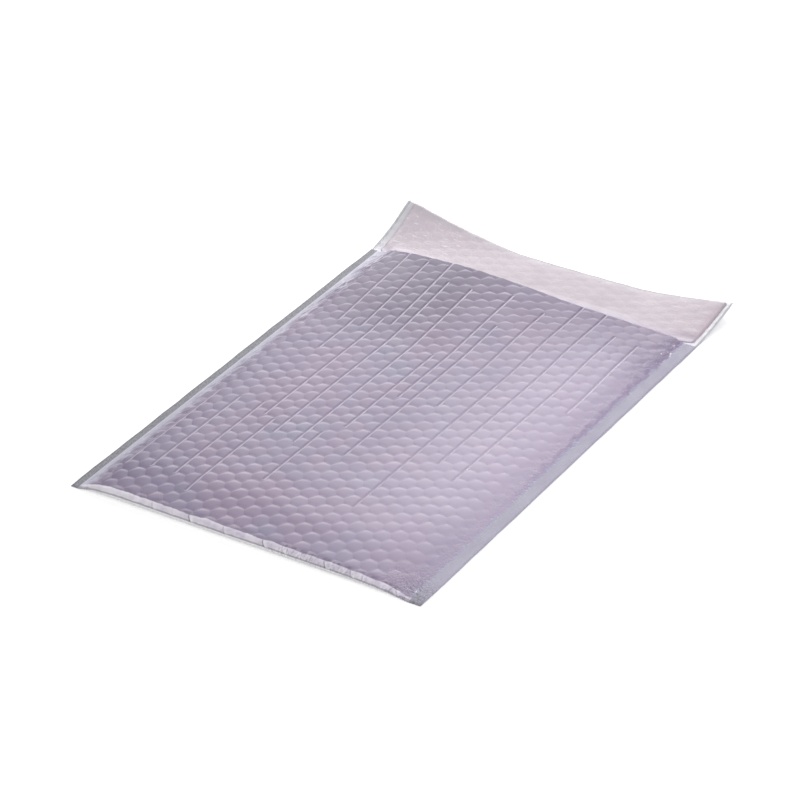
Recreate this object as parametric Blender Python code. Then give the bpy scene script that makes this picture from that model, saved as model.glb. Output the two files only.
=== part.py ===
"""A padded mailing envelope lying flat, empty, with its flap open.

A sheet of film is folded once, welded along both long sides and left open at
the mouth, where its rear panel runs on as the flap. A folded sheet of bubble
lining lies inside it and covers the inner face of the flap.

Everything is in metres. X runs across the envelope, Y along it from the fold
to the flap, and Z up from the surface that it lies on. The origin is on that
surface, under the middle of the whole sheet.
"""

import math

import bmesh
import bpy

# The sheet of film
WIDTH = 0.250
BODY_LENGTH = 0.350
FLAP_LENGTH = 0.050
FLAP_END_DIP = 0.0045
LEFT_SEAL = 0.0055
RIGHT_SEAL = 0.0085
SEAL_THICKNESS = 0.0009

# The walls, from the outside in
FILM_WALL = 0.0013
CLEARANCE = 0.0003
LINING_WALL = 0.0010
CLOSED_POCKET = 0.0004

# How far the body stands up, and how its mouth gapes left of the middle
BODY_THICKNESS = 0.0095
MOUTH_THICKNESS = 0.0102
MOUTH_PEAK_X = -0.050
MOUTH_SPREAD = 0.102
MOUTH_RUN = 0.060
SHOULDER_RUN = 0.025
FOLD_RUN = 0.040
NOSE_RUN = 0.0040

# The bubbles in columns along the envelope, and the straight grooves between them
COLUMN_PITCH = 0.0094
BUBBLE_PITCH = 0.0124
FILM_RELIEF = 0.00085
GROOVE_DEPTH = 0.0001
GROOVE_STRAIGHTNESS = 0.8
LINING_RELIEF = 0.0007

# The curled corners of the flap
LEFT_CURL = 0.0160
LEFT_CURL_FROM = 0.030
RIGHT_CURL = 0.0075
RIGHT_CURL_FROM = 0.060
CURL_ACROSS = 1.35
CURL_ALONG = 1.5

# Where the hollow and the lining end, inside the film
HOLLOW_INSET = 0.001
SIDE_PLAY = 0.001
MOUTH_SETBACK = 0.001
FLAP_MARGIN = 0.004

# Stations of the surfaces that stay hidden, and the reach of the cutters
RAMP_STATIONS = (0, 0.3, 0.7, 1)
NOSE_STATIONS = (0, 0.2, 0.6, 1)
MIDDLE_COLUMN_COUNT = 7
MIDDLE_ROW_COUNT = 2
FLAP_STATION_COUNT = 6
CUTTER_REACH = 0.015
CUTTER_TOP = 0.060
CUTTER_EXIT = 0.0005
LEVEL_ANGLE = math.radians(0.05)

# Levels and places that follow from the sizes
LINING_SKIN = FILM_WALL + CLEARANCE
POCKET = LINING_SKIN + LINING_WALL
STACK = 2 * POCKET + CLOSED_POCKET
FOLD_Y = -(BODY_LENGTH + FLAP_LENGTH) / 2
MOUTH_Y = FOLD_Y + BODY_LENGTH
END_Y = MOUTH_Y + FLAP_LENGTH
LINING_MOUTH_Y = MOUTH_Y - MOUTH_SETBACK
LEFT_X = -WIDTH / 2
RIGHT_X = WIDTH / 2
SEAL_LEFT_X = LEFT_X + LEFT_SEAL
SEAL_RIGHT_X = RIGHT_X - RIGHT_SEAL
LATTICE_COLUMNS = round((SEAL_RIGHT_X - SEAL_LEFT_X) * 1.5 / COLUMN_PITCH)
LATTICE_STEP = (SEAL_RIGHT_X - SEAL_LEFT_X) / LATTICE_COLUMNS
BODY_ROWS = round((BODY_LENGTH - NOSE_RUN) * 2 / BUBBLE_PITCH)
FLAP_ROWS = round(FLAP_LENGTH * 2 / BUBBLE_PITCH)
HOLLOW_LEFT_X = SEAL_LEFT_X + LATTICE_STEP + HOLLOW_INSET
HOLLOW_RIGHT_X = SEAL_RIGHT_X - LATTICE_STEP - HOLLOW_INSET
LINING_LEFT_X = HOLLOW_LEFT_X + SIDE_PLAY
LINING_RIGHT_X = HOLLOW_RIGHT_X - SIDE_PLAY


def spread(start, end, count):
    """Evenly spaced stations from start to end, both included."""
    return [start + (end - start) * k / count for k in range(count + 1)]


def ramp(t):
    """Rises from 0 to 1 in straight stretches between the ramp's stations."""
    t = min(max(t, 0.0), 1.0)
    for low, high in zip(RAMP_STATIONS, RAMP_STATIONS[1:]):
        if t <= high:
            level_low, level_high = (s * s * (3 - 2 * s) for s in (low, high))
            return level_low + (level_high - level_low) * (t - low) / (high - low)
    return 1.0


def from_seal(x):
    """How far x lies inside the nearer side seal."""
    return min(x - SEAL_LEFT_X, SEAL_RIGHT_X - x)


def flap_end(x):
    """The flap's end, which curves in towards its middle."""
    return END_Y - FLAP_END_DIP * (1 - (x / RIGHT_X) ** 2)


def curl(x, y):
    """How far the flap has curled up off the surface."""
    along = max(0.0, (y - MOUTH_Y) / (flap_end(x) - MOUTH_Y)) ** CURL_ALONG
    left = max(0.0, (-x - LEFT_CURL_FROM) / (RIGHT_X - LEFT_CURL_FROM))
    right = max(0.0, (x - RIGHT_CURL_FROM) / (RIGHT_X - RIGHT_CURL_FROM))
    return along * (LEFT_CURL * left**CURL_ACROSS + RIGHT_CURL * right**CURL_ACROSS)


def swell(x, y):
    """How far the envelope stands above its closed walls."""
    gape = (MOUTH_THICKNESS - STACK) * math.exp(-(((x - MOUTH_PEAK_X) / MOUTH_SPREAD) ** 2))
    to_mouth = ramp((y - MOUTH_Y + MOUTH_RUN) / MOUTH_RUN)
    crest = (BODY_THICKNESS - STACK) * (1 - to_mouth) + gape * to_mouth
    from_side = ramp((from_seal(x) - LATTICE_STEP) / SHOULDER_RUN)
    from_fold = ramp((y - FOLD_Y - NOSE_RUN) / FOLD_RUN)
    return crest * from_side * from_fold


def nose(y, inset):
    """Rounds the fold: 0 at its edge and 1 where the panels run level."""
    t = (y - FOLD_Y - inset) / (NOSE_RUN - inset)
    return math.sqrt(1 - (1 - min(max(t, 0.0), 1.0)) ** 2)


def film_edge(x):
    """The thickness of the closed walls, which thin out to the seal."""
    climb = min(max(from_seal(x) / LATTICE_STEP, 0.0), 1.0)
    return SEAL_THICKNESS + (STACK - SEAL_THICKNESS) * climb


def outside_levels(x, y):
    """The levels of the bubbles' tops under and over the film."""
    middle = film_edge(x) / 2
    rise = curl(x, y)
    return middle - middle * nose(y, 0) + rise, middle + (middle + swell(x, y)) * nose(y, 0) + rise


def inside_levels(x, y, inset):
    """Two levels inside the film, the upper one clear of the lattice's flat facets."""
    lowest = min(swell(x + dx, y) for dx in (-LATTICE_STEP, 0, LATTICE_STEP))
    middle = STACK / 2
    rise = curl(x, y)
    low = middle - (middle - inset) * nose(y, inset) + rise
    high = middle + (middle + lowest - inset) * nose(y, inset) + rise
    return low, high


def lattice(column, row, last_column):
    """A point of the bubble pattern: its shift across in steps, and if it is a top or in a groove."""
    odd = row % 2
    phase = (column - odd) % 3
    in_groove = phase == 1 + odd
    if not 0 < column < last_column:
        return 0.0, False, False
    shift = 0.5 * odd
    if in_groove:
        shift += GROOVE_STRAIGHTNESS * (0.25 if odd else -0.25)
    return shift, phase == 0, in_groove


def block(name, columns, rows, place, hidden=False):
    """A closed block on a grid, where place(column, row) gives x, y and the two levels."""
    bm = bmesh.new()
    bmesh.ops.create_grid(bm, x_segments=columns, y_segments=rows, size=1)
    lower = set(bm.verts)
    bmesh.ops.extrude_face_region(bm, geom=bm.faces[:], use_keep_orig=True)
    for vert in bm.verts:
        column = round((vert.co.x + 1) / 2 * columns)
        row = round((vert.co.y + 1) / 2 * rows)
        x, y, low, high = place(column, row)
        vert.co = (x, y, low if vert in lower else high)
    bmesh.ops.remove_doubles(bm, verts=bm.verts, dist=1e-7)
    bmesh.ops.triangulate(bm, faces=bm.faces[:], quad_method="SHORT_EDGE")
    bmesh.ops.recalc_face_normals(bm, faces=bm.faces[:])
    if hidden:
        bmesh.ops.dissolve_limit(bm, angle_limit=LEVEL_ANGLE, verts=bm.verts[:], edges=bm.edges[:])
    mesh = bpy.data.meshes.new(name)
    bm.to_mesh(mesh)
    bm.free()
    return bpy.data.objects.new(name, mesh)


def rough_block(name, xs, ys, levels):
    """A block whose faces stay hidden, over rows of stations, with levels(x, y)."""

    def place(column, row):
        return xs[column], ys[row], *levels(xs[column], ys[row])

    return block(name, len(xs) - 1, len(ys) - 1, place, hidden=True)


def hidden_columns(left_end, right_end):
    """Stations across: the ramps at both shoulders, and a few between them."""
    run = [2 * LATTICE_STEP + SHOULDER_RUN * s for s in RAMP_STATIONS]
    left = [SEAL_LEFT_X + d for d in run]
    right = [SEAL_RIGHT_X - d for d in reversed(run)]
    middle = spread(left[-1], right[0], MIDDLE_COLUMN_COUNT)[1:-1]
    return [left_end, *left, *middle, *right, right_end]


def hidden_rows(inset, end):
    """Stations along: the rounded fold, the two ramps, and a few between them."""
    fold = [FOLD_Y + inset + (NOSE_RUN - inset) * s for s in NOSE_STATIONS]
    rise = [fold[-1] + FOLD_RUN * s for s in RAMP_STATIONS]
    fall = [MOUTH_Y - MOUTH_RUN * (1 - s) for s in RAMP_STATIONS]
    middle = spread(rise[-1], fall[0], MIDDLE_ROW_COUNT)
    return [*fold, *rise[1:], *middle[1:-1], *fall[:-1], end]


def hollow_cutter(name, left_end, right_end, inset, mouth_y):
    """The space inside a layer, open at the mouth, where its floor lifts clear of the flap."""
    out_y = mouth_y + CUTTER_EXIT

    def levels(x, y):
        low, high = inside_levels(x, y, inset)
        return (low + CLEARANCE, high) if y == out_y else (low, high)

    ys = [*hidden_rows(inset, mouth_y), out_y]
    return rough_block(name, hidden_columns(left_end, right_end), ys, levels)


def material(name, colour, roughness):
    """A plain finish for one piece."""
    made = bpy.data.materials.new(name)
    made.use_nodes = True
    shader = made.node_tree.nodes["Principled BSDF"]
    shader.inputs["Base Color"].default_value = (*colour, 1)
    shader.inputs["Roughness"].default_value = roughness
    return made


def cut(piece, cutter):
    """Takes the cutter's space out of the piece."""
    cutter.hide_render = True
    cutter.display_type = "WIRE"
    guides.objects.link(cutter)
    modifier = piece.modifiers.new(cutter.name, "BOOLEAN")
    modifier.operation = "DIFFERENCE"
    modifier.solver = "EXACT"
    modifier.object = cutter


def make_outer_film():
    """The folded film with its side seals, its flap and the bubbles pressed into it."""
    first_lattice_row = len(NOSE_STATIONS) - 1
    mouth_row = first_lattice_row + BODY_ROWS
    last_row = mouth_row + FLAP_ROWS

    def place(column, row):
        if column == 0:
            x, top, groove = LEFT_X, True, False
        elif column == LATTICE_COLUMNS + 2:
            x, top, groove = RIGHT_X, True, False
        else:
            shift, top, groove = lattice(column - 1, row, LATTICE_COLUMNS)
            x = SEAL_LEFT_X + (column - 1 + shift) * LATTICE_STEP
            top = top or column in (1, LATTICE_COLUMNS + 1)
            if row < first_lattice_row or row == mouth_row:
                top, groove = True, False
        if row <= first_lattice_row:
            y = FOLD_Y + NOSE_RUN * NOSE_STATIONS[row]
        elif row <= mouth_row:
            share = (row - first_lattice_row) / BODY_ROWS
            y = FOLD_Y + NOSE_RUN + (BODY_LENGTH - NOSE_RUN) * share
        else:
            y = MOUTH_Y + (flap_end(x) - MOUTH_Y) * (row - mouth_row) / FLAP_ROWS
        low, high = outside_levels(x, y)
        depth = 0 if top else FILM_RELIEF + GROOVE_DEPTH * groove
        return x, y, low + depth, high - depth

    def flap_levels(x, y):
        return inside_levels(x, y, FILM_WALL)[0], CUTTER_TOP

    film = block("outer_film", LATTICE_COLUMNS + 2, last_row, place)
    parts.objects.link(film)
    across = [LEFT_X - CUTTER_REACH, *hidden_columns(LEFT_X, RIGHT_X), RIGHT_X + CUTTER_REACH]
    along = [*spread(MOUTH_Y, END_Y, FLAP_STATION_COUNT), END_Y + CUTTER_REACH]
    cut(film, rough_block("over_flap_film", across, along, flap_levels))
    cut(film, hollow_cutter("film_hollow", HOLLOW_LEFT_X, HOLLOW_RIGHT_X, FILM_WALL, MOUTH_Y))
    film.data.materials.append(material("lavender_film", (0.40, 0.35, 0.45), 0.35))
    return film


def make_bubble_lining():
    """The folded bubble sheet, which ends short of the film's edge on the flap."""
    side = SIDE_PLAY / 2

    def place(column, row):
        x = columns[column]
        if row < len(body_rows):
            y = body_rows[row]
        else:
            share = (row - len(body_rows) + 1) / FLAP_STATION_COUNT
            y = LINING_MOUTH_Y + (flap_end(x) - FLAP_MARGIN - LINING_MOUTH_Y) * share
        return x, y, *inside_levels(x, y, LINING_SKIN)

    def bubble_mould(column, row):
        shift, top, _ = lattice(column, row + 1, mould_columns)
        x = LINING_LEFT_X - side + (column + shift) * mould_step
        y = LINING_MOUTH_Y + (flap_end(x) - LINING_MOUTH_Y) * row / FLAP_ROWS
        depth = LINING_RELIEF if row == 0 or not top else 0
        return x, y, POCKET - depth + curl(x, y), CUTTER_TOP

    columns = hidden_columns(LINING_LEFT_X, LINING_RIGHT_X)
    body_rows = hidden_rows(LINING_SKIN, LINING_MOUTH_Y)
    last_row = len(body_rows) - 1 + FLAP_STATION_COUNT
    lining = block("bubble_lining", len(columns) - 1, last_row, place, hidden=True)
    parts.objects.link(lining)
    mould_width = LINING_RIGHT_X - LINING_LEFT_X + 2 * side
    mould_columns = round(mould_width / LATTICE_STEP)
    mould_step = mould_width / mould_columns
    cut(lining, block("flap_bubbles", mould_columns, FLAP_ROWS, bubble_mould))
    ends = (LINING_LEFT_X - side, LINING_RIGHT_X + side)
    cut(lining, hollow_cutter("pocket", *ends, POCKET, LINING_MOUTH_Y))
    lining.data.materials.append(material("pink_lining", (0.70, 0.55, 0.62), 0.45))
    return lining


for old in list(bpy.data.objects):
    bpy.data.objects.remove(old, do_unlink=True)

parts = bpy.data.collections.new("padded_envelope")
guides = bpy.data.collections.new("cutters")
bpy.context.scene.collection.children.link(parts)
bpy.context.scene.collection.children.link(guides)
make_outer_film()
make_bubble_lining()
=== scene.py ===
import math

import bpy
from mathutils import Matrix, Vector


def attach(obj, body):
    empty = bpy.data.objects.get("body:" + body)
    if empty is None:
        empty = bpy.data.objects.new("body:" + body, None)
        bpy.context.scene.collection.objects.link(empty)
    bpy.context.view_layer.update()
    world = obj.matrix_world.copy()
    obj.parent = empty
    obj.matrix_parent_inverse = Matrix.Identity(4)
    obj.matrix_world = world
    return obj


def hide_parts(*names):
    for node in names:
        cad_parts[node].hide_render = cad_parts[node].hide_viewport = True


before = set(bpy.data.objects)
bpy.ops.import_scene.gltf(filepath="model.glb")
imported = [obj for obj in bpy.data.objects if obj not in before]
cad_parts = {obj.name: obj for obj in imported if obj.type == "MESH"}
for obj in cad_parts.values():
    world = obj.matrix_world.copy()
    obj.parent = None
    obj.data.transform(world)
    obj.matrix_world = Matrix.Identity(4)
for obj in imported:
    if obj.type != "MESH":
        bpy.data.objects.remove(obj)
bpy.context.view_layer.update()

# The front panel of the film.
# One half of a folded sheet of lavender polyethylene film, about a tenth of a
# millimetre thick, drawn tight over the bubbles under it. It is welded to the
# rear panel along both long sides and folds over into it at the near edge.
SHEET_WIDTH = 0.250
FOLD_Y = -0.200
MOUTH_Y = 0.150
FOLD_RUN = 0.006          # the film's own length round half of the fold
FOLD_REACH = 0.004        # and how far along the envelope that half goes
JOIN_RUN = 0.012          # where the two panels meet, under the envelope
RUN_START_Y = FOLD_Y + FOLD_REACH - FOLD_RUN    # past the fold, y is the film's own run plus this
MOUTH_RUN = MOUTH_Y - RUN_START_Y
LOWEST_LEVEL = 0.0001     # the film's outer face keeps above this
FILM_WALL = 0.00025
SEAL_HEIGHT = 0.06        # in centimetres, like the heights that are drawn below
FILL_AT_FOLD = 0.72       # how full the envelope is beside the fold, with 1 past it
RIGHT_SLOPE = 0.55        # the right shoulder's slope, with 1 for the left one's
LEFT_SEAL = 0.0055
RIGHT_SEAL = 0.0085
CELLS_ACROSS = 172        # of the mesh, six to a column of bubbles
CELLS_ALONG = 250
CELLS_A_COLUMN = 6
FIRST_GAP_CELL = 3
COLUMN_PITCH = SHEET_WIDTH / CELLS_ACROSS * CELLS_A_COLUMN
BUBBLE_PITCH = 0.0113
BUBBLE_REACH = 0.0063     # from a bubble's crown to the bottom of the valley round it
FRONT_SIZES = {
    "Width": SHEET_WIDTH,
    "Run": MOUTH_RUN + JOIN_RUN,
    "Bubble Relief": 0.00050,
    "Groove Depth": 0.00015,
    "Groove Width": 0.0030,
    "Shoulder Wrinkles": 0.0013,
    "Fold Wrinkles": 0.0007,
    "Slack": 0.0007,
    "Seed": 3.0,
}
# The straight grooves: the gap between two columns, and y at the far and at the near end
GROOVES = (
    (4, 0.150, 0.048), (6, 0.142, 0.048), (8, 0.152, 0.060), (5, 0.050, 0.011),
    (7, 0.060, -0.076), (9, 0.123, -0.092), (11, 0.123, -0.095), (12, -0.081, -0.141),
    (13, 0.036, -0.064), (14, 0.132, -0.015), (15, 0.090, -0.092), (17, 0.123, -0.013),
    (19, 0.155, -0.139), (21, 0.155, -0.071), (23, 0.123, -0.083), (25, 0.121, 0.027),
    (8, -0.083, -0.174), (6, -0.069, -0.162), (4, -0.071, -0.162), (2, -0.069, -0.165),
)
# The short creases across the fold: x, and how strong they are
FOLD_CREASES = (
    (-0.067, 0.5), (-0.040, 1.0), (-0.015, 0.5), (0.013, 1.0),
    (0.027, 0.6), (0.056, 0.8), (0.074, 0.6),
)


class Reading:
    """A number read off a sheet inside a node tree, for plain sums."""

    def __init__(self, tree, socket):
        self.tree = tree
        self.socket = socket

    def worked(self, operation, *others):
        node = self.tree.nodes.new("ShaderNodeMath")
        node.operation = operation
        for slot, value in zip(node.inputs, (self, *others)):
            if isinstance(value, Reading):
                self.tree.links.new(value.socket, slot)
            else:
                slot.default_value = value
        return Reading(self.tree, node.outputs[0])

    def __add__(self, other):
        return self.worked("ADD", other)

    def __sub__(self, other):
        return self.worked("SUBTRACT", other)

    def __rsub__(self, other):
        return self.worked("MULTIPLY", -1.0) + other

    def __mul__(self, other):
        return self.worked("MULTIPLY", other)

    def __truediv__(self, other):
        return self.worked("DIVIDE", other)

    def __pow__(self, other):
        return self.worked("POWER", other)

    __radd__ = __add__
    __rmul__ = __mul__

    def least(self, other):
        return self.worked("MINIMUM", other)

    def most(self, other):
        return self.worked("MAXIMUM", other)

    def size(self):
        return self.worked("ABSOLUTE")

    def to_and_fro(self, reach):
        return self.worked("PINGPONG", reach)

    def ease(self, start, end):
        """Goes smoothly from 0 at start to 1 at end."""
        node = self.tree.nodes.new("ShaderNodeMapRange")
        node.interpolation_type = "SMOOTHSTEP"
        self.tree.links.new(self.socket, node.inputs[0])
        node.inputs[1].default_value = start
        node.inputs[2].default_value = end
        return Reading(self.tree, node.outputs[0])

    def along(self, points):
        """Follows a drawn curve through points, each from 0 to 1."""
        node = self.tree.nodes.new("ShaderNodeFloatCurve")
        drawn = node.mapping.curves[0].points
        while len(drawn) < len(points):
            drawn.new(0.5, 0.5)
        for spot, (across, up) in zip(drawn, points):
            spot.location = (across, up)
        node.mapping.update()
        self.tree.links.new(self.socket, node.inputs[1])
        return Reading(self.tree, node.outputs[0])


def place(tree, x, y, z):
    """Three readings as one place."""
    node = tree.nodes.new("ShaderNodeCombineXYZ")
    for slot, value in zip(node.inputs, (x, y, z)):
        if isinstance(value, Reading):
            tree.links.new(value.socket, slot)
        else:
            slot.default_value = value
    return node.outputs[0]


def unevenness(tree, x, y, seed, detail=1.0):
    """A random reading around 0, from about -0.5 to 0.5, whose patches are 1 wide."""
    node = tree.nodes.new("ShaderNodeTexNoise")
    tree.links.new(place(tree, x, y, seed), node.inputs["Vector"])
    node.inputs["Scale"].default_value = 1.0
    node.inputs["Detail"].default_value = detail
    return Reading(tree, node.outputs[0]) - 0.5


def begin_tree(name, sizes):
    """A geometry tree with its sizes as named inputs, and their readings."""
    tree = bpy.data.node_groups.new(name, "GeometryNodeTree")
    tree.interface.new_socket("Sheet", in_out="OUTPUT", socket_type="NodeSocketGeometry")
    for label, value in sizes.items():
        socket = tree.interface.new_socket(label, in_out="INPUT", socket_type="NodeSocketFloat")
        socket.default_value = value
    entry = tree.nodes.new("NodeGroupInput")
    return tree, {label: Reading(tree, entry.outputs[label]) for label in sizes}


def flat_grid(tree, width, run, across, along):
    """A flat grid in a tree, and its places across and along from its first edge."""
    grid = tree.nodes.new("GeometryNodeMeshGrid")
    tree.links.new(width.socket, grid.inputs["Size X"])
    tree.links.new(run.socket, grid.inputs["Size Y"])
    grid.inputs["Vertices X"].default_value = across + 1
    grid.inputs["Vertices Y"].default_value = along + 1
    parts = tree.nodes.new("ShaderNodeSeparateXYZ")
    tree.links.new(tree.nodes.new("GeometryNodeInputPosition").outputs[0], parts.inputs[0])
    return grid.outputs["Mesh"], Reading(tree, parts.outputs[0]), Reading(tree, parts.outputs[1])


def end_tree(tree, geometry, spot, pattern, finish, turned):
    """Puts the grid's points in place, keeps the bubble pattern at each, and closes the tree."""
    links = tree.links
    keep = tree.nodes.new("GeometryNodeStoreNamedAttribute")
    keep.data_type = "FLOAT_VECTOR"
    keep.inputs["Name"].default_value = "pattern"
    links.new(geometry, keep.inputs["Geometry"])
    links.new(pattern, keep.inputs["Value"])
    move = tree.nodes.new("GeometryNodeSetPosition")
    links.new(keep.outputs[0], move.inputs["Geometry"])
    links.new(spot, move.inputs["Position"])
    last = move.outputs[0]
    if turned:
        flip = tree.nodes.new("GeometryNodeFlipFaces")
        links.new(last, flip.inputs[0])
        last = flip.outputs[0]
    smooth = tree.nodes.new("GeometryNodeSetShadeSmooth")
    links.new(last, smooth.inputs["Geometry"])
    real = tree.nodes.new("GeometryNodeRealizeInstances")
    links.new(smooth.outputs[0], real.inputs["Geometry"])
    coat = tree.nodes.new("GeometryNodeSetMaterial")
    coat.inputs["Material"].default_value = finish
    links.new(real.outputs[0], coat.inputs["Geometry"])
    leave = tree.nodes.new("NodeGroupOutput")
    links.new(coat.outputs[0], leave.inputs[0])


def grown(name, tree, sizes):
    """Runs a tree on an empty piece and keeps the plain mesh that comes out."""
    piece = bpy.data.objects.new(name, bpy.data.meshes.new(name))
    bpy.context.scene.collection.objects.link(piece)
    modifier = piece.modifiers.new("sheet", "NODES")
    modifier.node_group = tree
    for item in tree.interface.items_tree:
        if item.in_out == "INPUT":
            modifier[item.identifier] = sizes[item.name]
    result = piece.evaluated_get(bpy.context.evaluated_depsgraph_get())
    mesh = bpy.data.meshes.new_from_object(result)
    piece.modifiers.remove(modifier)
    piece.data = mesh
    mesh.name = name
    return piece


def thicken(piece, thickness, inner_slot=0, offset=-1):
    """Gives a sheet its wall, on its inner side, or with an offset of 0 half on each side."""
    wall = piece.modifiers.new("wall", "SOLIDIFY")
    wall.thickness = thickness
    wall.offset = offset
    wall.material_offset = inner_slot
    wall.material_offset_rim = inner_slot


def column_lean(across, run):
    """How far the bubble columns lean sideways, more near the mouth and to the left."""
    upright = 0.242
    up = ((run - upright) / 0.110).most(0.0) ** 1.3
    down = ((upright - run) / 0.180).most(0.0).least(1.3)
    lean = up * (across.ease(0.040, -0.060) * -0.0045 - 0.0040) - down * 0.0030
    sway = (1.0 - ((across + 0.015) / 0.060) ** 2.0).most(0.0) * -0.0020
    edge = (SHEET_WIDTH / 2 - across.size()).ease(0.004, 0.030)
    return (lean + sway) * edge


def bubble_count(across, run, jitter_x, jitter_y):
    """A place on the sheet in bubble columns and in bubbles along them."""
    u = (across + SHEET_WIDTH / 2) / COLUMN_PITCH - FIRST_GAP_CELL / CELLS_A_COLUMN + jitter_x
    return u, run / BUBBLE_PITCH + jitter_y


def bubble_valley(u, v, flatness):
    """0 on a bubble's crown and 1 in the valley round it, which is steep on the far left side."""
    forward, leftward = 0.85, 0.52

    def squared(shift_u, shift_v, behind):
        """The squared distance from a crown, which grows fastest to the far left."""
        side = (((u + shift_u) / 2.0 + 50.5).worked("FRACT") - 0.5) * COLUMN_PITCH * 2.0
        beyond = ((v + shift_v + 100.0).worked("FRACT") - behind) * BUBBLE_PITCH
        away = beyond * forward - side * leftward
        away = (away * 1.25).most(away * -0.83)
        aside = (beyond * leftward + side * forward) * 1.08
        return away * away + aside * aside

    even = squared(-0.5, 0.0, 0.0).least(squared(-0.5, 0.0, 1.0))
    odd = squared(0.5, 0.5, 0.0).least(squared(0.5, 0.5, 1.0))
    return ((even.least(odd) / BUBBLE_REACH**2) ** flatness).least(1.0)


def off_gap(u):
    """How far to the right of the nearest gap between two bubble columns a point is."""
    return ((u + 100.5).worked("FRACT") - 0.5) * COLUMN_PITCH


def creased(aside, left_width, right_width):
    """1 in the bottom of a crease and 0 beside it, past the widths of its two flanks."""
    return (aside / left_width + 1.0).least(1.0 - aside / right_width).most(0.0)


def from_seals(x):
    """How far inside the left and inside the right seal a point is."""
    return x + (SHEET_WIDTH / 2 - LEFT_SEAL), (SHEET_WIDTH / 2 - RIGHT_SEAL) - x


def body_height(x):
    """The level of the film over the lining and its two shoulders, in centimetres."""
    shoulder = (
        (0.0, SEAL_HEIGHT), (0.07, 0.20), (0.155, 0.42), (0.25, 0.58),
        (0.35, 0.69), (0.50, 0.79), (0.78, 0.86), (1.0, 0.88),
    )
    from_left, from_right = from_seals(x)
    inside = from_left.least(from_right * RIGHT_SLOPE)
    return (inside / 0.040).least(1.0).most(0.0).along(shoulder)


def mouth_height(x):
    """The level of the front panel's free edge, in centimetres."""
    gape = (
        (0.0, SEAL_HEIGHT), (0.022, 0.08), (0.06, 0.38), (0.092, 0.56), (0.156, 0.72),
        (0.216, 0.79), (0.296, 0.87), (0.372, 0.83), (0.48, 0.70), (0.624, 0.57),
        (0.768, 0.46), (0.892, 0.33), (0.94, 0.20), (0.966, 0.07), (1.0, SEAL_HEIGHT),
    )
    return ((x + SHEET_WIDTH / 2) / SHEET_WIDTH).along(gape)


def filled_level(height, fill):
    """The level, in metres, of a height in centimetres where the envelope is that full."""
    return ((height - SEAL_HEIGHT) * fill + SEAL_HEIGHT) * 0.01


def front_level(x, run):
    """The level of the bubbles' crowns on the front panel, which falls off gently to the right."""
    body = body_height(x)
    risen = body + (mouth_height(x) - body) * run.ease(MOUTH_RUN - 0.070, MOUTH_RUN)
    return filled_level(risen, run.ease(0.004, 0.046) * (1.0 - FILL_AT_FOLD) + FILL_AT_FOLD)


def mouth_setback(x):
    """How far the mouth's upper edge is drawn back, which it is on the right."""
    return x.ease(-0.010, 0.040) * 0.0020


def film_across(tree, across, run, edge, seed):
    """Where a point of the film lies across, with the columns' lean and the cut edge's waver."""
    waver = unevenness(tree, run * 45.0, across * 20.0, seed) * edge.ease(0.008, 0.0) * 0.0012
    return across + column_lean(across, run.least(MOUTH_RUN)) + waver


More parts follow.
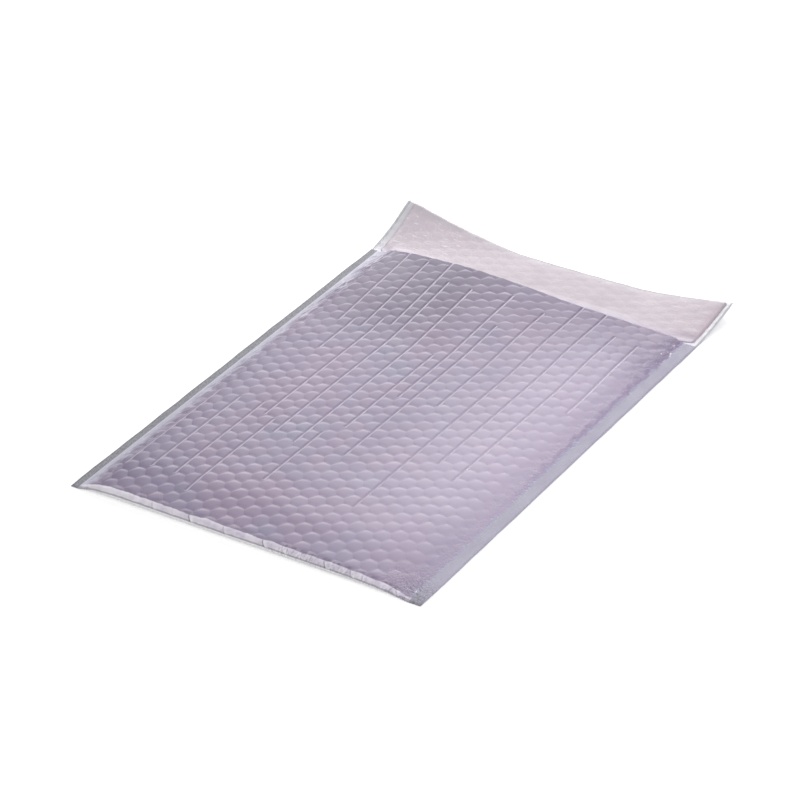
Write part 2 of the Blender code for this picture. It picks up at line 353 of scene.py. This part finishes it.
def build_front_tree(finish):
    """The front panel, from where it meets the rear panel, round the fold, to the mouth."""
    tree, size = begin_tree("front_panel", FRONT_SIZES)
    grid, across, along = flat_grid(tree, size["Width"], size["Run"], CELLS_ACROSS, CELLS_ALONG)
    run = along + size["Run"] / 2 - JOIN_RUN
    seed = size["Seed"]

    edge = SHEET_WIDTH / 2 - across.size()
    x = film_across(tree, across, run, edge, seed)
    from_left, from_right = from_seals(x)
    from_seal = from_left.least(from_right)
    crown = front_level(x, run)

    # the straight grooves: gentle on their left and steep on their right
    join = tree.nodes.new("GeometryNodeJoinGeometry")
    for gap, far, near in GROOVES:
        line = tree.nodes.new("GeometryNodeMeshLine")
        line.mode = "END_POINTS"
        line.inputs["Count"].default_value = 2
        cell = FIRST_GAP_CELL + CELLS_A_COLUMN * gap
        spot = cell * SHEET_WIDTH / CELLS_ACROSS - SHEET_WIDTH / 2
        line.inputs["Start Location"].default_value = (spot, far - RUN_START_Y, 0)
        line.inputs["Offset"].default_value = (spot, near - RUN_START_Y, 0)
        tree.links.new(line.outputs[0], join.inputs[0])
    reach = tree.nodes.new("GeometryNodeProximity")
    reach.target_element = "EDGES"
    tree.links.new(join.outputs[0], reach.inputs[0])
    tree.links.new(place(tree, across, run, 0.0), reach.inputs["Sample Position"])
    apart = Reading(tree, reach.outputs["Distance"]) / size["Groove Width"]
    grooved = apart.ease(1.05, 0.75)

    # the bubbles, which keep their places beside a groove and stray a little elsewhere
    stray = 1.0 - grooved
    jitter_x = unevenness(tree, across * 110.0, run * 110.0, seed + 5.0) * stray * 0.16
    jitter_y = unevenness(tree, across * 90.0, run * 90.0, seed + 9.0) * 0.26
    u, v = bubble_count(across, run, jitter_x, jitter_y)
    valley = bubble_valley(u, v, 1.5)
    strength = unevenness(tree, across * 28.0, run * 28.0, seed + 2.0) * 1.3 + 0.95
    cut = creased(off_gap(u), 0.0029, 0.00145) * grooved
    cut = cut * (unevenness(tree, across * 60.0, run * 22.0, seed + 4.0) * 0.8 + 1.0)

    off_seals = from_left.ease(0.002, 0.009) * from_right.ease(0.0, 0.005)
    lined = off_seals * run.ease(0.005, 0.010) * crown.ease(0.0012, 0.0040)
    sunk = valley * strength * size["Bubble Relief"] * (1.0 - cut.least(1.0))
    sunk = (sunk + cut * size["Groove Depth"]) * lined

    # wrinkles in the film alone, over the shoulders and round the fold
    shoulder = from_seal.ease(0.0, 0.004) * from_seal.ease(0.019, 0.009)
    upper = run.ease(0.200, 0.340) * 0.6 + 0.6
    ridge = unevenness(tree, x * 170.0 - run * 75.0, run * 50.0, seed + 1.0, 2.0).size()
    ruck = (ridge * -2.6 + 0.35) * shoulder * upper * size["Shoulder Wrinkles"]
    at_fold = run.ease(-0.004, 0.002) * run.ease(0.012, 0.006) * edge.ease(0.002, 0.010)
    crumple = unevenness(tree, x * 210.0, run * 90.0, seed + 7.0) * at_fold
    crumple = crumple * size["Fold Wrinkles"] * 2.0
    slack = unevenness(tree, x * 16.0, run * 16.0, seed + 6.0) * from_seal.ease(0.006, 0.030)
    slack = slack * run.ease(0.010, 0.050) * size["Slack"]

    # round the fold it rises from the table, at a share of -1, to the crown's level, at 1
    share = (run / FOLD_RUN).least(1.0).most(-1.0)
    turn = share * 1.5 - share ** 3.0 * 0.5
    level = crown * 0.5 * (turn + 1.0)
    wrinkled = (ruck + crumple + slack) * run.ease(-0.002, 0.003)
    z = (level - sunk + wrinkled).most(LOWEST_LEVEL)
    back = (run.size() / FOLD_RUN).least(1.0) ** 1.5 * FOLD_REACH
    y = back + (run.size() - FOLD_RUN).most(0.0) + FOLD_Y
    drawn_back = mouth_setback(x) + unevenness(tree, x * 60.0, 0.0, seed) * 0.0009
    y = y - drawn_back * run.ease(0.315, MOUTH_RUN) - crumple * 0.6
    pressed = grooved * 0.5 + lined
    end_tree(tree, grid, place(tree, x, y, z), place(tree, u, v, pressed), finish, False)
    return tree


def paint(red, green, blue):
    """A colour as it shows, from 0 to 255, in linear light."""
    return (*(((v / 255 + 0.055) / 1.055) ** 2.4 for v in (red, green, blue)), 1.0)


def mixed(tree, share, first, second):
    """Goes from the first colour to the second as share goes from 0 to 1."""
    node = tree.nodes.new("ShaderNodeMix")
    node.data_type = "RGBA"
    for slot, value in ((node.inputs[0], share), (node.inputs[6], first), (node.inputs[7], second)):
        if isinstance(value, Reading):
            tree.links.new(value.socket, slot)
        elif isinstance(value, bpy.types.NodeSocket):
            tree.links.new(value, slot)
        else:
            slot.default_value = value
    return node.outputs[2]


def begin_finish(name):
    """A material with its shader, and the place of the point that is shaded."""
    made = bpy.data.materials.new(name)
    made.use_nodes = True
    tree = made.node_tree
    shader = tree.nodes["Principled BSDF"]
    parts = tree.nodes.new("ShaderNodeSeparateXYZ")
    tree.links.new(tree.nodes.new("ShaderNodeTexCoord").outputs["Object"], parts.inputs[0])
    return made, tree, shader, [Reading(tree, out) for out in parts.outputs]


def kept_pattern(tree):
    """The bubble column, the bubble along it, and how far the film is pressed on the bubbles."""
    node = tree.nodes.new("ShaderNodeAttribute")
    node.attribute_name = "pattern"
    parts = tree.nodes.new("ShaderNodeSeparateXYZ")
    tree.links.new(node.outputs["Vector"], parts.inputs[0])
    return [Reading(tree, out) for out in parts.outputs]


def rough_surface(tree, shader, height):
    """Feeds a fine relief, in metres, to the shader's normal."""
    bump = tree.nodes.new("ShaderNodeBump")
    bump.inputs["Strength"].default_value = 1.0
    bump.inputs["Distance"].default_value = 1.0
    tree.links.new(height.socket, bump.inputs["Height"])
    tree.links.new(bump.outputs[0], shader.inputs["Normal"])


def lavender_film():
    """The film over the lining, which shows through it as bluer and pinker patches."""
    made, tree, shader, (x, y, z) = begin_finish("lavender_film")
    u, v, pressed = kept_pattern(tree)
    lined = pressed.ease(0.0, 1.0)
    in_line = pressed.ease(1.05, 1.45)
    groove = creased(off_gap(u), 0.0015, 0.0008) * in_line
    rim = bubble_valley(u, v, 4.0) * lined * (1.0 - groove)
    from_left, from_right = from_seals(x)
    inside = from_left.least(from_right)
    broad = unevenness(tree, x * 24.0, y * 16.0, 4.0, 2.0)
    close = unevenness(tree, x * 80.0, y * 60.0, 8.0, 1.0)
    pink = (broad + close * 0.3).ease(-0.22, 0.22)
    colour = mixed(tree, pink, paint(149, 142, 167), paint(157, 140, 165))
    firm = unevenness(tree, x * 45.0, y * 45.0, 23.0) * 1.6 + 0.8
    # painted shade: darker in the valleys round the bubbles and down the grooves
    colour = mixed(tree, rim * 0.10, colour, paint(118, 100, 132))
    colour = mixed(tree, groove * 0.25, colour, paint(110, 94, 124))
    # painted shade: darker below the mouth and on the upper left, where the light falls off
    shade_under_mouth = y.ease(0.030, 0.130) * x.ease(-0.122, -0.095) * x.ease(0.125, 0.020)
    colour = mixed(tree, shade_under_mouth * 0.65, colour, paint(116, 102, 129))
    shade_upper_left = y.ease(0.0, 0.09) * x.ease(-0.116, -0.098) * x.ease(0.010, -0.050)
    colour = mixed(tree, shade_upper_left * 0.66, colour, paint(100, 88, 112))
    # paler to the right: a painted sheen, where the soft light's reflection lies brightest
    right_sheen = (x - y * 0.12).ease(-0.010, 0.105) * y.ease(-0.21, -0.06) * y.ease(0.160, 0.070)
    right_sheen = right_sheen * 0.48 + x.ease(0.0, 0.1) * y.ease(0.135, 0.050) * 0.28
    colour = mixed(tree, right_sheen, colour, paint(202, 190, 212))
    # darker towards the near left corner: painted shade, away from the soft light's reflection
    corner = (x * 3.2 + y).ease(-0.10, -0.55)
    colour = mixed(tree, corner * 0.5, colour, paint(122, 111, 136))
    # painted highlights: whiter on each bubble's far left flank, which faces the light, and on the
    # lit flank of each groove
    far_rim_highlight = bubble_valley(u - 0.07, v + 0.09, 1.5) - bubble_valley(u, v, 1.5)
    far_rim_highlight = far_rim_highlight.ease(0.06, 0.36) * lined * (1.0 - groove)
    far_rim_highlight = far_rim_highlight * (x.ease(0.105, 0.010) * 0.55 + 0.45)
    colour = mixed(tree, far_rim_highlight * firm.most(0.2) * 0.42, colour, paint(206, 195, 214))
    # a painted highlight on the lit right flank of each groove
    groove_highlight = creased(off_gap(u) - 0.0006, 0.0008, 0.0007) * in_line
    groove_highlight = groove_highlight * unevenness(tree, x * 55.0, y * 40.0, 35.0).ease(-0.60, -0.10)
    groove_highlight = groove_highlight * (x.ease(0.050, -0.050) * 0.30 + 0.55)
    colour = mixed(tree, groove_highlight, colour, paint(226, 217, 232))
    # the film alone, pale and bluish, down the left shoulder
    ragged = unevenness(tree, x * 110.0, y * 110.0, 2.0, 2.0) * 0.014
    bare_left = (from_left + ragged).ease(0.013, 0.002)
    colour = mixed(tree, bare_left * 0.80, colour, paint(212, 209, 227))
    # and wrinkled there, in lines that follow the edge, with painted highlights along the wrinkles
    # and painted shade between them
    over_edge = from_left.ease(0.0, 0.002) * from_left.ease(0.018, 0.007)
    over_edge = over_edge * (y.ease(-0.05, 0.12) * 0.6 + 0.4)
    wrinkles = unevenness(tree, x * 210.0 - y * 55.0, y * 45.0, 17.0, 1.0).size()
    colour = mixed(tree, wrinkles.ease(0.040, 0.0) * over_edge * 0.75, colour, paint(234, 233, 242))
    colour = mixed(tree, wrinkles.ease(0.08, 0.20) * over_edge * 0.30, colour, paint(132, 124, 147))
    # bare film in ragged patches beside the right seal, and purple shade next to them
    torn = unevenness(tree, x * 160.0, y * 110.0, 6.0, 2.0) * 0.010
    shade_right = (from_right + torn).ease(0.0060, 0.0030) * y.ease(-0.16, 0.04)
    colour = mixed(tree, shade_right * 0.5, colour, paint(142, 127, 160))
    bare_right = (from_right + torn).ease(0.0022, 0.0008)
    colour = mixed(tree, bare_right, colour, paint(176, 171, 196))
    # the welded strips
    weave = unevenness(tree, x * 900.0 + y * 300.0, y * 500.0, 41.0, 2.0).ease(-0.2, 0.2)
    weave = mixed(tree, weave, paint(122, 122, 131), paint(150, 150, 158))
    colour = mixed(tree, from_left.ease(0.0004, -0.0004), colour, weave)
    streaked = unevenness(tree, x * 120.0, y * 50.0, 13.0, 2.0).ease(-0.3, 0.3)
    strip = mixed(tree, streaked, paint(171, 166, 187), paint(180, 176, 194))
    tag = (y + unevenness(tree, x * 150.0, y * 150.0, 45.0) * 0.016).ease(-0.182, -0.196)
    strip = mixed(tree, tag * 0.6, strip, paint(150, 148, 158))
    colour = mixed(tree, from_right.ease(0.0004, -0.0004), colour, strip)
    # glints where the film is crumpled beside the right seal
    beside = (from_right - 0.0035).size().ease(0.0045, 0.0015)
    corner_glints = y.ease(-0.165, -0.185) + y.ease(0.110, 0.125) * y.ease(0.148, 0.140)
    spots = unevenness(tree, x * 420.0, y * 240.0, 29.0, 1.0).ease(0.15, 0.22)
    colour = mixed(tree, spots * beside * corner_glints, colour, paint(250, 248, 252))
    # a bright line where the left weld begins
    weld_line = from_left.size().ease(0.0008, 0.0003)
    colour = mixed(tree, weld_line * 0.8, colour, paint(214, 214, 226))
    # round the fold the film stands clear of the lining and is painted pale: partly the bare film's
    # own colour, partly painted light for the light it lets through; a line of painted shade marks
    # where the lining ends
    inland = y - FOLD_Y
    lining_end_shade = inland.ease(0.0035, 0.0050) * inland.ease(0.0105, 0.0065) * z.ease(0.002, 0.004)
    colour = mixed(tree, lining_end_shade * 0.5, colour, paint(118, 102, 130))
    edging = unevenness(tree, x * 90.0, z * 90.0, 3.0, 2.0) * 0.0040
    clear = (inland + edging).ease(0.0048, 0.0038) * inside.ease(-0.001, 0.002)
    milky = unevenness(tree, x * 160.0, z * 300.0, 31.0, 2.0).ease(-0.3, 0.3)
    band = mixed(tree, milky, paint(214, 205, 223), paint(240, 235, 245))
    band = mixed(tree, x.ease(-0.02, -0.10) * 0.5, band, paint(250, 246, 252))
    # a crease runs along it, at a little over half of its height, as a line of painted shade; the
    # film below it is painted paler, painted light against the shade under the fold
    crown = filled_level(body_height(x), FILL_AT_FOLD)
    above_crease = z - crown * 0.64 + unevenness(tree, x * 25.0, 0.0, 15.0) * 0.0008
    band = mixed(tree, above_crease.ease(0.0, -0.0006), band, paint(252, 250, 253))
    colour = mixed(tree, clear, colour, band)
    crease = above_crease.size().ease(0.0007, 0.0002) * inland.ease(0.0030, 0.0020)
    colour = mixed(tree, crease * 0.60, colour, paint(134, 127, 142))
    # and short folds cross it, each a dark line of painted shade with a painted highlight on its
    # bright flank
    dark_folds = 0.0
    fold_flank_highlights = 0.0
    for spot, strength in FOLD_CREASES:
        past_fold = x - spot + (z - 0.0065) * 1.2
        dark_folds = creased(past_fold, 0.0006, 0.0004) * strength + dark_folds
        fold_flank_highlights = creased(past_fold - 0.0012, 0.0008, 0.0030) * strength + fold_flank_highlights
    on_band = inland.ease(0.0040, 0.0028) * above_crease.ease(-0.0003, 0.0003)
    dark_folds = dark_folds * on_band
    colour = mixed(tree, dark_folds * 0.7, colour, paint(128, 120, 138))
    colour = mixed(tree, fold_flank_highlights * on_band, colour, paint(250, 248, 252))
    tree.links.new(colour, shader.inputs["Base Color"])
    gloss = unevenness(tree, x * 40.0, y * 40.0, 7.0, 2.0) * 0.16 + 0.46
    tree.links.new(gloss.socket, shader.inputs["Roughness"])
    shader.inputs["Specular IOR Level"].default_value = 0.22
    # relief from the welds' dimples, the film's grain and its small wrinkles
    weld = inside.ease(0.0003, -0.0003)
    dimples = (x * 5200.0).worked("SINE") * (y * 5200.0).worked("SINE") * weld
    grain = unevenness(tree, x * 900.0, y * 900.0, 1.0, 2.0)
    fold_marks = unevenness(tree, x * 300.0, z * 260.0, 19.0, 2.0).size()
    fold_marks = fold_marks * inland.ease(0.007, 0.004) * (x.ease(0.010, 0.030) + 0.35)
    near_tag = x.ease(0.085, 0.110) * y.ease(-0.165, -0.188)
    crumpled = unevenness(tree, x * 330.0, y * 260.0, 43.0, 2.0).size()
    beside_seal = from_right.ease(0.014, 0.004) * from_right.ease(-0.002, 0.001)
    crumpled = crumpled * (near_tag + beside_seal * 0.35)
    relief = rim * firm * -0.00016 - groove * 0.00036 - wrinkles * over_edge * 0.0050
    relief = relief - fold_marks * 0.0022 - dark_folds * 0.0004 - crumpled * 0.0030
    rough_surface(tree, shader, relief + grain * 0.00005 + dimples * 0.00006)
    return made


def inner_film():
    """The film's inner face, which shows on the flap past the lining."""
    made, tree, shader, (x, y, _) = begin_finish("inner_film")
    streak = unevenness(tree, x * 260.0, y * 30.0, 5.0, 2.0)
    colour = mixed(tree, streak + 0.5, paint(208, 206, 213), paint(226, 225, 231))
    colour = mixed(tree, y.ease(MOUTH_Y + 0.018, MOUTH_Y) * 0.7, colour, paint(190, 184, 200))
    thin_line = (SHEET_WIDTH / 2 - 0.0012 - x.size()).size().ease(0.0008, 0.0003)
    colour = mixed(tree, thin_line * 0.6, colour, paint(170, 172, 174))
    tree.links.new(colour, shader.inputs["Base Color"])
    gloss = unevenness(tree, x * 60.0, y * 60.0, 9.0) * 0.2 + 0.32
    tree.links.new(gloss.socket, shader.inputs["Roughness"])
    rough_surface(tree, shader, unevenness(tree, x * 700.0, y * 700.0, 2.0, 2.0) * 0.00010)
    return made


film_finish = lavender_film()
inner_finish = inner_film()
front = grown("film_front", build_front_tree(film_finish), FRONT_SIZES)
front.data.materials.append(inner_finish)
thicken(front, FILM_WALL, inner_slot=1)
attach(front, "root")
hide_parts("outer_film")


# The rear panel and the flap.
# The other half of the same sheet of film. It lies on the surface under the
# lining, and runs on past the mouth as the flap, whose corners curl up.
FLAP_LENGTH = 0.050
FLAP_END_DIP = 0.0045
REAR_SIZES = {
    "Width": SHEET_WIDTH,
    "Run": MOUTH_RUN + FLAP_LENGTH - JOIN_RUN,
    "Bubble Relief": 0.00045,
    "Left Curl": 0.0160,
    "Right Curl": 0.0075,
    "Margin Wrinkles": 0.0010,
    "Seed": 11.0,
}


def flap_lie(x, run, size):
    """How far along a point of the flap lies, and how far the flap has curled up there."""
    past = ((run - MOUTH_RUN) / FLAP_LENGTH).most(0.0)
    dip = (1.0 - (x / (SHEET_WIDTH / 2)) ** 2.0) * FLAP_END_DIP
    left = ((x * -1.0 - 0.030) / 0.095).most(0.0) ** 1.35
    right = ((x - 0.060) / 0.065).most(0.0) ** 1.35
    rise = (past ** 1.5) * (left * size["Left Curl"] + right * size["Right Curl"])
    return past, past * dip * -1.0, rise


def build_rear_tree(finish):
    """The rear panel and the flap, from where the front panel ends to the flap's far edge."""
    tree, size = begin_tree("rear_panel", REAR_SIZES)
    grid, across, along = flat_grid(tree, size["Width"], size["Run"], CELLS_ACROSS, CELLS_ALONG)
    run = along + size["Run"] / 2 + JOIN_RUN
    seed = size["Seed"]
    edge = SHEET_WIDTH / 2 - across.size()
    x = film_across(tree, across, run, edge, seed)
    from_left, from_right = from_seals(x)
    jitter = unevenness(tree, across * 100.0, run * 100.0, seed + 5.0) * 0.16
    u, v = bubble_count(across, run, jitter, jitter * -1.0)
    valley = bubble_valley(u, v, 1.5)
    strength = unevenness(tree, across * 30.0, run * 30.0, seed + 2.0) * 0.8 + 0.85
    past, pulled, rise = flap_lie(x, run, size)
    flap_end = MOUTH_RUN + FLAP_LENGTH
    lined = from_left.least(from_right).ease(0.003, 0.013) * run.ease(0.010, 0.020)
    lined = lined * run.ease(flap_end - 0.001, flap_end - 0.008)
    sunk = valley * strength * size["Bubble Relief"] * lined
    margin = edge.ease(0.0065, 0.0025) * past.ease(0.0, 0.3)
    ruck = unevenness(tree, x * 180.0, run * 120.0, seed + 1.0, 2.0).size() * margin
    ruck = ruck * size["Margin Wrinkles"] * 2.0
    z = (sunk + rise + ruck).most(LOWEST_LEVEL)
    nicks = unevenness(tree, x * 90.0, 0.0, seed + 3.0, 2.0) * past * 0.0012
    y = run + RUN_START_Y + pulled + nicks
    end_tree(tree, grid, place(tree, x, y, z), place(tree, u, v, lined), finish, True)
    return tree


rear = grown("film_rear", build_rear_tree(film_finish), REAR_SIZES)
rear.data.materials.append(inner_finish)
thicken(rear, FILM_WALL, inner_slot=1)
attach(rear, "root")
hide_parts("outer_film")


# The bubble lining.
# One sheet of pale pink bubble sheet, folded with the film and lying loose in
# it. Its inner face is smooth film, with the round bubbles showing under it,
# and it covers the flap up to a margin of bare film at the sides and end.
LINING_CELLS = 160
LINING_WALL = 0.0006
LINING_HALF = 0.349       # its own length from the fold to the mouth
LINING_FOLD_Y = FOLD_Y + 0.0035
LINING_SIZES = {
    "Width": SHEET_WIDTH / CELLS_ACROSS * LINING_CELLS,
    "Run": LINING_HALF * 2 + FLAP_LENGTH,
    "Bubble Relief": 0.00022,
    "Left Curl": REAR_SIZES["Left Curl"],
    "Right Curl": REAR_SIZES["Right Curl"],
    "Flap Margin": 0.0035,
    "Seed": 21.0,
}
# Stretches of the sheet, from the mouth's upper edge round the fold to the flap's end:
# the share of the mesh cells, which are close together where the sheet shows, and the length
STRETCHES = ((0.16, 0.060), (0.25, 0.281), (0.06, 0.016), (0.22, 0.281), (0.31, 0.110))


def lining_finish():
    """Pale pink film over round bubbles, with a soft sheen."""
    made, tree, shader, (x, y, _) = begin_finish("pink_bubble_sheet")
    u, v, _ = kept_pattern(tree)
    valley = bubble_valley(u, v, 1.0)
    ring = valley.ease(0.30, 0.50) * valley.ease(0.85, 0.60)
    patch = unevenness(tree, x * 60.0, y * 60.0, 12.0, 2.0)
    colour = mixed(tree, patch.ease(-0.15, 0.15), paint(192, 178, 189), paint(198, 181, 191))
    faint = unevenness(tree, x * 35.0, y * 50.0, 27.0, 1.0).ease(-0.35, 0.10)
    faint = faint * (x.ease(0.090, 0.020) * 0.7 + 0.3)
    colour = mixed(tree, ring * faint * 0.50, colour, paint(222, 212, 220))
    middle = valley.ease(0.22, 0.05) * unevenness(tree, x * 90.0, y * 90.0, 37.0).ease(-0.05, 0.2)
    colour = mixed(tree, middle * 0.5, colour, paint(214, 199, 210))
    # paler towards the left: painted light, standing in for the light that shines through the thin
    # curled flap
    colour = mixed(tree, x.ease(0.02, -0.12) * 0.6, colour, paint(226, 216, 225))
    # a row of small painted glints near the left, short and bright, where the curl catches the
    # light
    dash_glints = unevenness(tree, x * 120.0, y * 600.0, 33.0).ease(0.14, 0.20) * x.ease(-0.050, -0.080)
    colour = mixed(tree, dash_glints * 0.7, colour, paint(250, 247, 250))
    # darker in the middle: painted shade that evens out the strong light on the flat middle of the
    # flap
    centre = x.ease(-0.095, -0.010) * x.ease(0.125, 0.050)
    colour = mixed(tree, centre * 0.80, colour, paint(172, 158, 169))
    near_mouth = y.ease(MOUTH_Y + 0.012, MOUTH_Y + 0.001)
    colour = mixed(tree, near_mouth * 0.6, colour, paint(188, 178, 198))
    bowed = y - 0.0035 * ((x / (SHEET_WIDTH / 2)) ** 2.0)
    far_edge = bowed.ease(MOUTH_Y + 0.036, MOUTH_Y + 0.042)
    colour = mixed(tree, far_edge * 0.5, colour, paint(196, 190, 196))
    tree.links.new(colour, shader.inputs["Base Color"])
    gloss = unevenness(tree, x * 80.0, y * 80.0, 14.0) * 0.2 + 0.33
    tree.links.new(gloss.socket, shader.inputs["Roughness"])
    rough_surface(tree, shader, unevenness(tree, x * 500.0, y * 500.0, 3.0, 2.0) * 0.00012)
    shader.inputs["Specular IOR Level"].default_value = 0.22
    return made


def build_lining_sheet(finish):
    """Both halves of the lining and the part on the flap, as one strip round its fold."""
    tree, size = begin_tree("bubble_lining", LINING_SIZES)
    grid, across, along = flat_grid(tree, size["Width"], size["Run"], LINING_CELLS, CELLS_ALONG)
    seed = size["Seed"]
    share = along / size["Run"] + 0.5
    strip = 0.0
    passed = 0.0
    for cells, length in STRETCHES:
        strip = ((share - passed) / cells).most(0.0).least(1.0) * length + strip
        passed = passed + cells
    # the distance from the fold, and 1 on the upper half but 0 on the lower
    run = (strip - LINING_HALF).size()
    over = (strip - LINING_HALF).ease(0.003, -0.003)
    film_run = run + (MOUTH_RUN - LINING_HALF)
    # narrower inside the envelope than on the flap
    to_sides = across.ease(0.0, 0.110) * 0.042 + across.ease(0.0, -0.110) * 0.018
    outside = (run - over * 0.1).ease(LINING_HALF - 0.005, LINING_HALF)
    widened = (to_sides + 0.055) * outside - 0.055
    x = (across + column_lean(across, run.least(MOUTH_RUN))) * (widened + 1.0)
    # the two halves' levels, apart from each other and under the front panel
    film_level = front_level(x, run + 0.004)
    lower = (film_level * 0.5 - 0.00055).least(0.00185).most(0.0004)
    upper = (film_level - 0.00205).most(film_level * 0.5 + 0.00050)
    past, pulled, rise = flap_lie(x, film_run, size)
    z = lower + (upper - lower) * over + past.ease(0.0, 0.2) * (0.0011 - lower) + rise
    # the bubbles, on the inner faces
    jitter = unevenness(tree, across * 100.0, run * 100.0, seed + 5.0) * 0.10
    u, v = bubble_count(across, film_run, jitter, jitter)
    from_left, from_right = from_seals(x)
    shown = run.ease(0.270, 0.300) * from_left.least(from_right).ease(-0.004, 0.004)
    sunk = bubble_valley(u, v, 1.3) * size["Bubble Relief"] * shown
    z = z + (size["Bubble Relief"] * 0.5 - sunk) * (1.0 - over * 2.0) * 0.8
    # its sides lie down on the flap's margin
    laid = (size["Width"] / 2 - across.size()).ease(0.004, 0.0) * past.ease(0.0, 0.1)
    z = z - laid * 0.00045
    nicks = unevenness(tree, x * 70.0, 0.0, seed + 3.0, 2.0) * 0.0012 * past
    y = run + LINING_FOLD_Y + pulled - past * size["Flap Margin"] + nicks
    y = y - mouth_setback(x) * run.ease(0.315, LINING_HALF) * over
    y = y - over * run.ease(0.340, LINING_HALF) * 0.0008
    end_tree(tree, grid, place(tree, x, y, z), place(tree, u, v, 0.0), finish, True)
    return tree


lining = grown("bubble_sheet", build_lining_sheet(lining_finish()), LINING_SIZES)
thicken(lining, LINING_WALL, offset=0)
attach(lining, "root")
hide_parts("bubble_lining")


# The floor.
# A plain white table top, which shows pure white to the camera and to
# reflections, and keeps the envelope's soft shadow.
TABLE_LEVEL = -0.0001
TABLE_REACH = 6
TABLE_GLOW = 0.42


def white_table():
    made = bpy.data.materials.new("white_table")
    made.use_nodes = True
    tree = made.node_tree
    shader = tree.nodes["Principled BSDF"]
    shader.inputs["Base Color"].default_value = (0.86, 0.86, 0.86, 1)
    shader.inputs["Roughness"].default_value = 0.9
    path = tree.nodes.new("ShaderNodeLightPath")
    seen = Reading(tree, path.outputs["Is Camera Ray"])
    seen = seen.most(Reading(tree, path.outputs["Is Glossy Ray"]))
    seen = seen.most(Reading(tree, path.outputs["Is Transmission Ray"]))
    glow = tree.nodes.new("ShaderNodeEmission")
    glow.inputs["Strength"].default_value = TABLE_GLOW
    total = tree.nodes.new("ShaderNodeAddShader")
    tree.links.new(shader.outputs[0], total.inputs[0])
    tree.links.new(glow.outputs[0], total.inputs[1])
    choice = tree.nodes.new("ShaderNodeMixShader")
    tree.links.new(seen.socket, choice.inputs[0])
    tree.links.new(shader.outputs[0], choice.inputs[1])
    tree.links.new(total.outputs[0], choice.inputs[2])
    tree.links.new(choice.outputs[0], tree.nodes["Material Output"].inputs["Surface"])
    return made


table_mesh = bpy.data.meshes.new("table")
corners = [(-1, -1), (1, -1), (1, 1), (-1, 1)]
table_mesh.from_pydata(
    [(x * TABLE_REACH, y * TABLE_REACH, TABLE_LEVEL) for x, y in corners], [], [(0, 1, 2, 3)]
)
table = bpy.data.objects.new("table", table_mesh)
table_mesh.materials.append(white_table())
bpy.context.scene.collection.objects.link(table)


# The light.
# A white room, one large soft light low behind the envelope and to its left,
# and a weaker one before it.
CAMERA_AZIMUTH = math.radians(31.34)
ROOM_LEVEL = 0.52         # on the envelope, and 1 to the camera
world = bpy.data.worlds.new("white_room")
bpy.context.scene.world = world
world.use_nodes = True
room = world.node_tree
sky = room.nodes["Background"]
sky.inputs["Color"].default_value = (1, 1, 1, 1)
room_path = room.nodes.new("ShaderNodeLightPath")
room_seen = Reading(room, room_path.outputs["Is Camera Ray"])
room_level = room_seen * (1.0 - ROOM_LEVEL) + ROOM_LEVEL
room.links.new(room_level.socket, sky.inputs["Strength"])


def direction(azimuth, elevation):
    """From the envelope outwards: azimuth 0 is on the fold's side, and 90 degrees on the right."""
    return Vector((
        math.sin(azimuth) * math.cos(elevation),
        -math.cos(azimuth) * math.cos(elevation),
        math.sin(elevation),
    ))


def soft_light(name, azimuth, elevation, distance, width, power):
    """A square soft light, aimed at the middle of the envelope."""
    data = bpy.data.lights.new(name, "AREA")
    data.shape = "SQUARE"
    data.size = width
    data.energy = power
    light = bpy.data.objects.new(name, data)
    outward = direction(azimuth, elevation)
    turn = outward.to_track_quat("Z", "Y").to_matrix().to_4x4()
    light.matrix_world = Matrix.Translation(outward * distance) @ turn
    bpy.context.scene.collection.objects.link(light)


soft_light("window", CAMERA_AZIMUTH + math.radians(178), math.radians(27), 1.5, 0.9, 15.0)
soft_light("fill", CAMERA_AZIMUTH + math.radians(35), math.radians(20), 1.8, 1.2, 14.0)


# The camera.
# At the photograph's place: level, from the near right, through a long lens.
CAMERA_ELEVATION = math.radians(31.29)
CAMERA_AIM = Vector((-0.0058, -0.0083, 0))
CAMERA_DISTANCE = 2.317
FOCAL_PIXELS = 3645
FRAME_PIXELS = 800
camera_data = bpy.data.cameras.new("camera")
camera_data.sensor_width = 36
camera_data.lens = FOCAL_PIXELS * camera_data.sensor_width / FRAME_PIXELS
camera_data.clip_start = 0.01
camera_data.clip_end = 100
camera = bpy.data.objects.new("camera", camera_data)
ahead = -direction(CAMERA_AZIMUTH, CAMERA_ELEVATION)
rightward = ahead.cross(Vector((0, 0, 1))).normalized()
upward = rightward.cross(ahead)
camera.matrix_world = (
    Matrix.Translation(CAMERA_AIM - ahead * CAMERA_DISTANCE)
    @ Matrix((rightward, upward, -ahead)).transposed().to_4x4()
)
bpy.context.scene.collection.objects.link(camera)
bpy.context.scene.camera = camera
bpy.context.scene.view_settings.view_transform = "Standard"
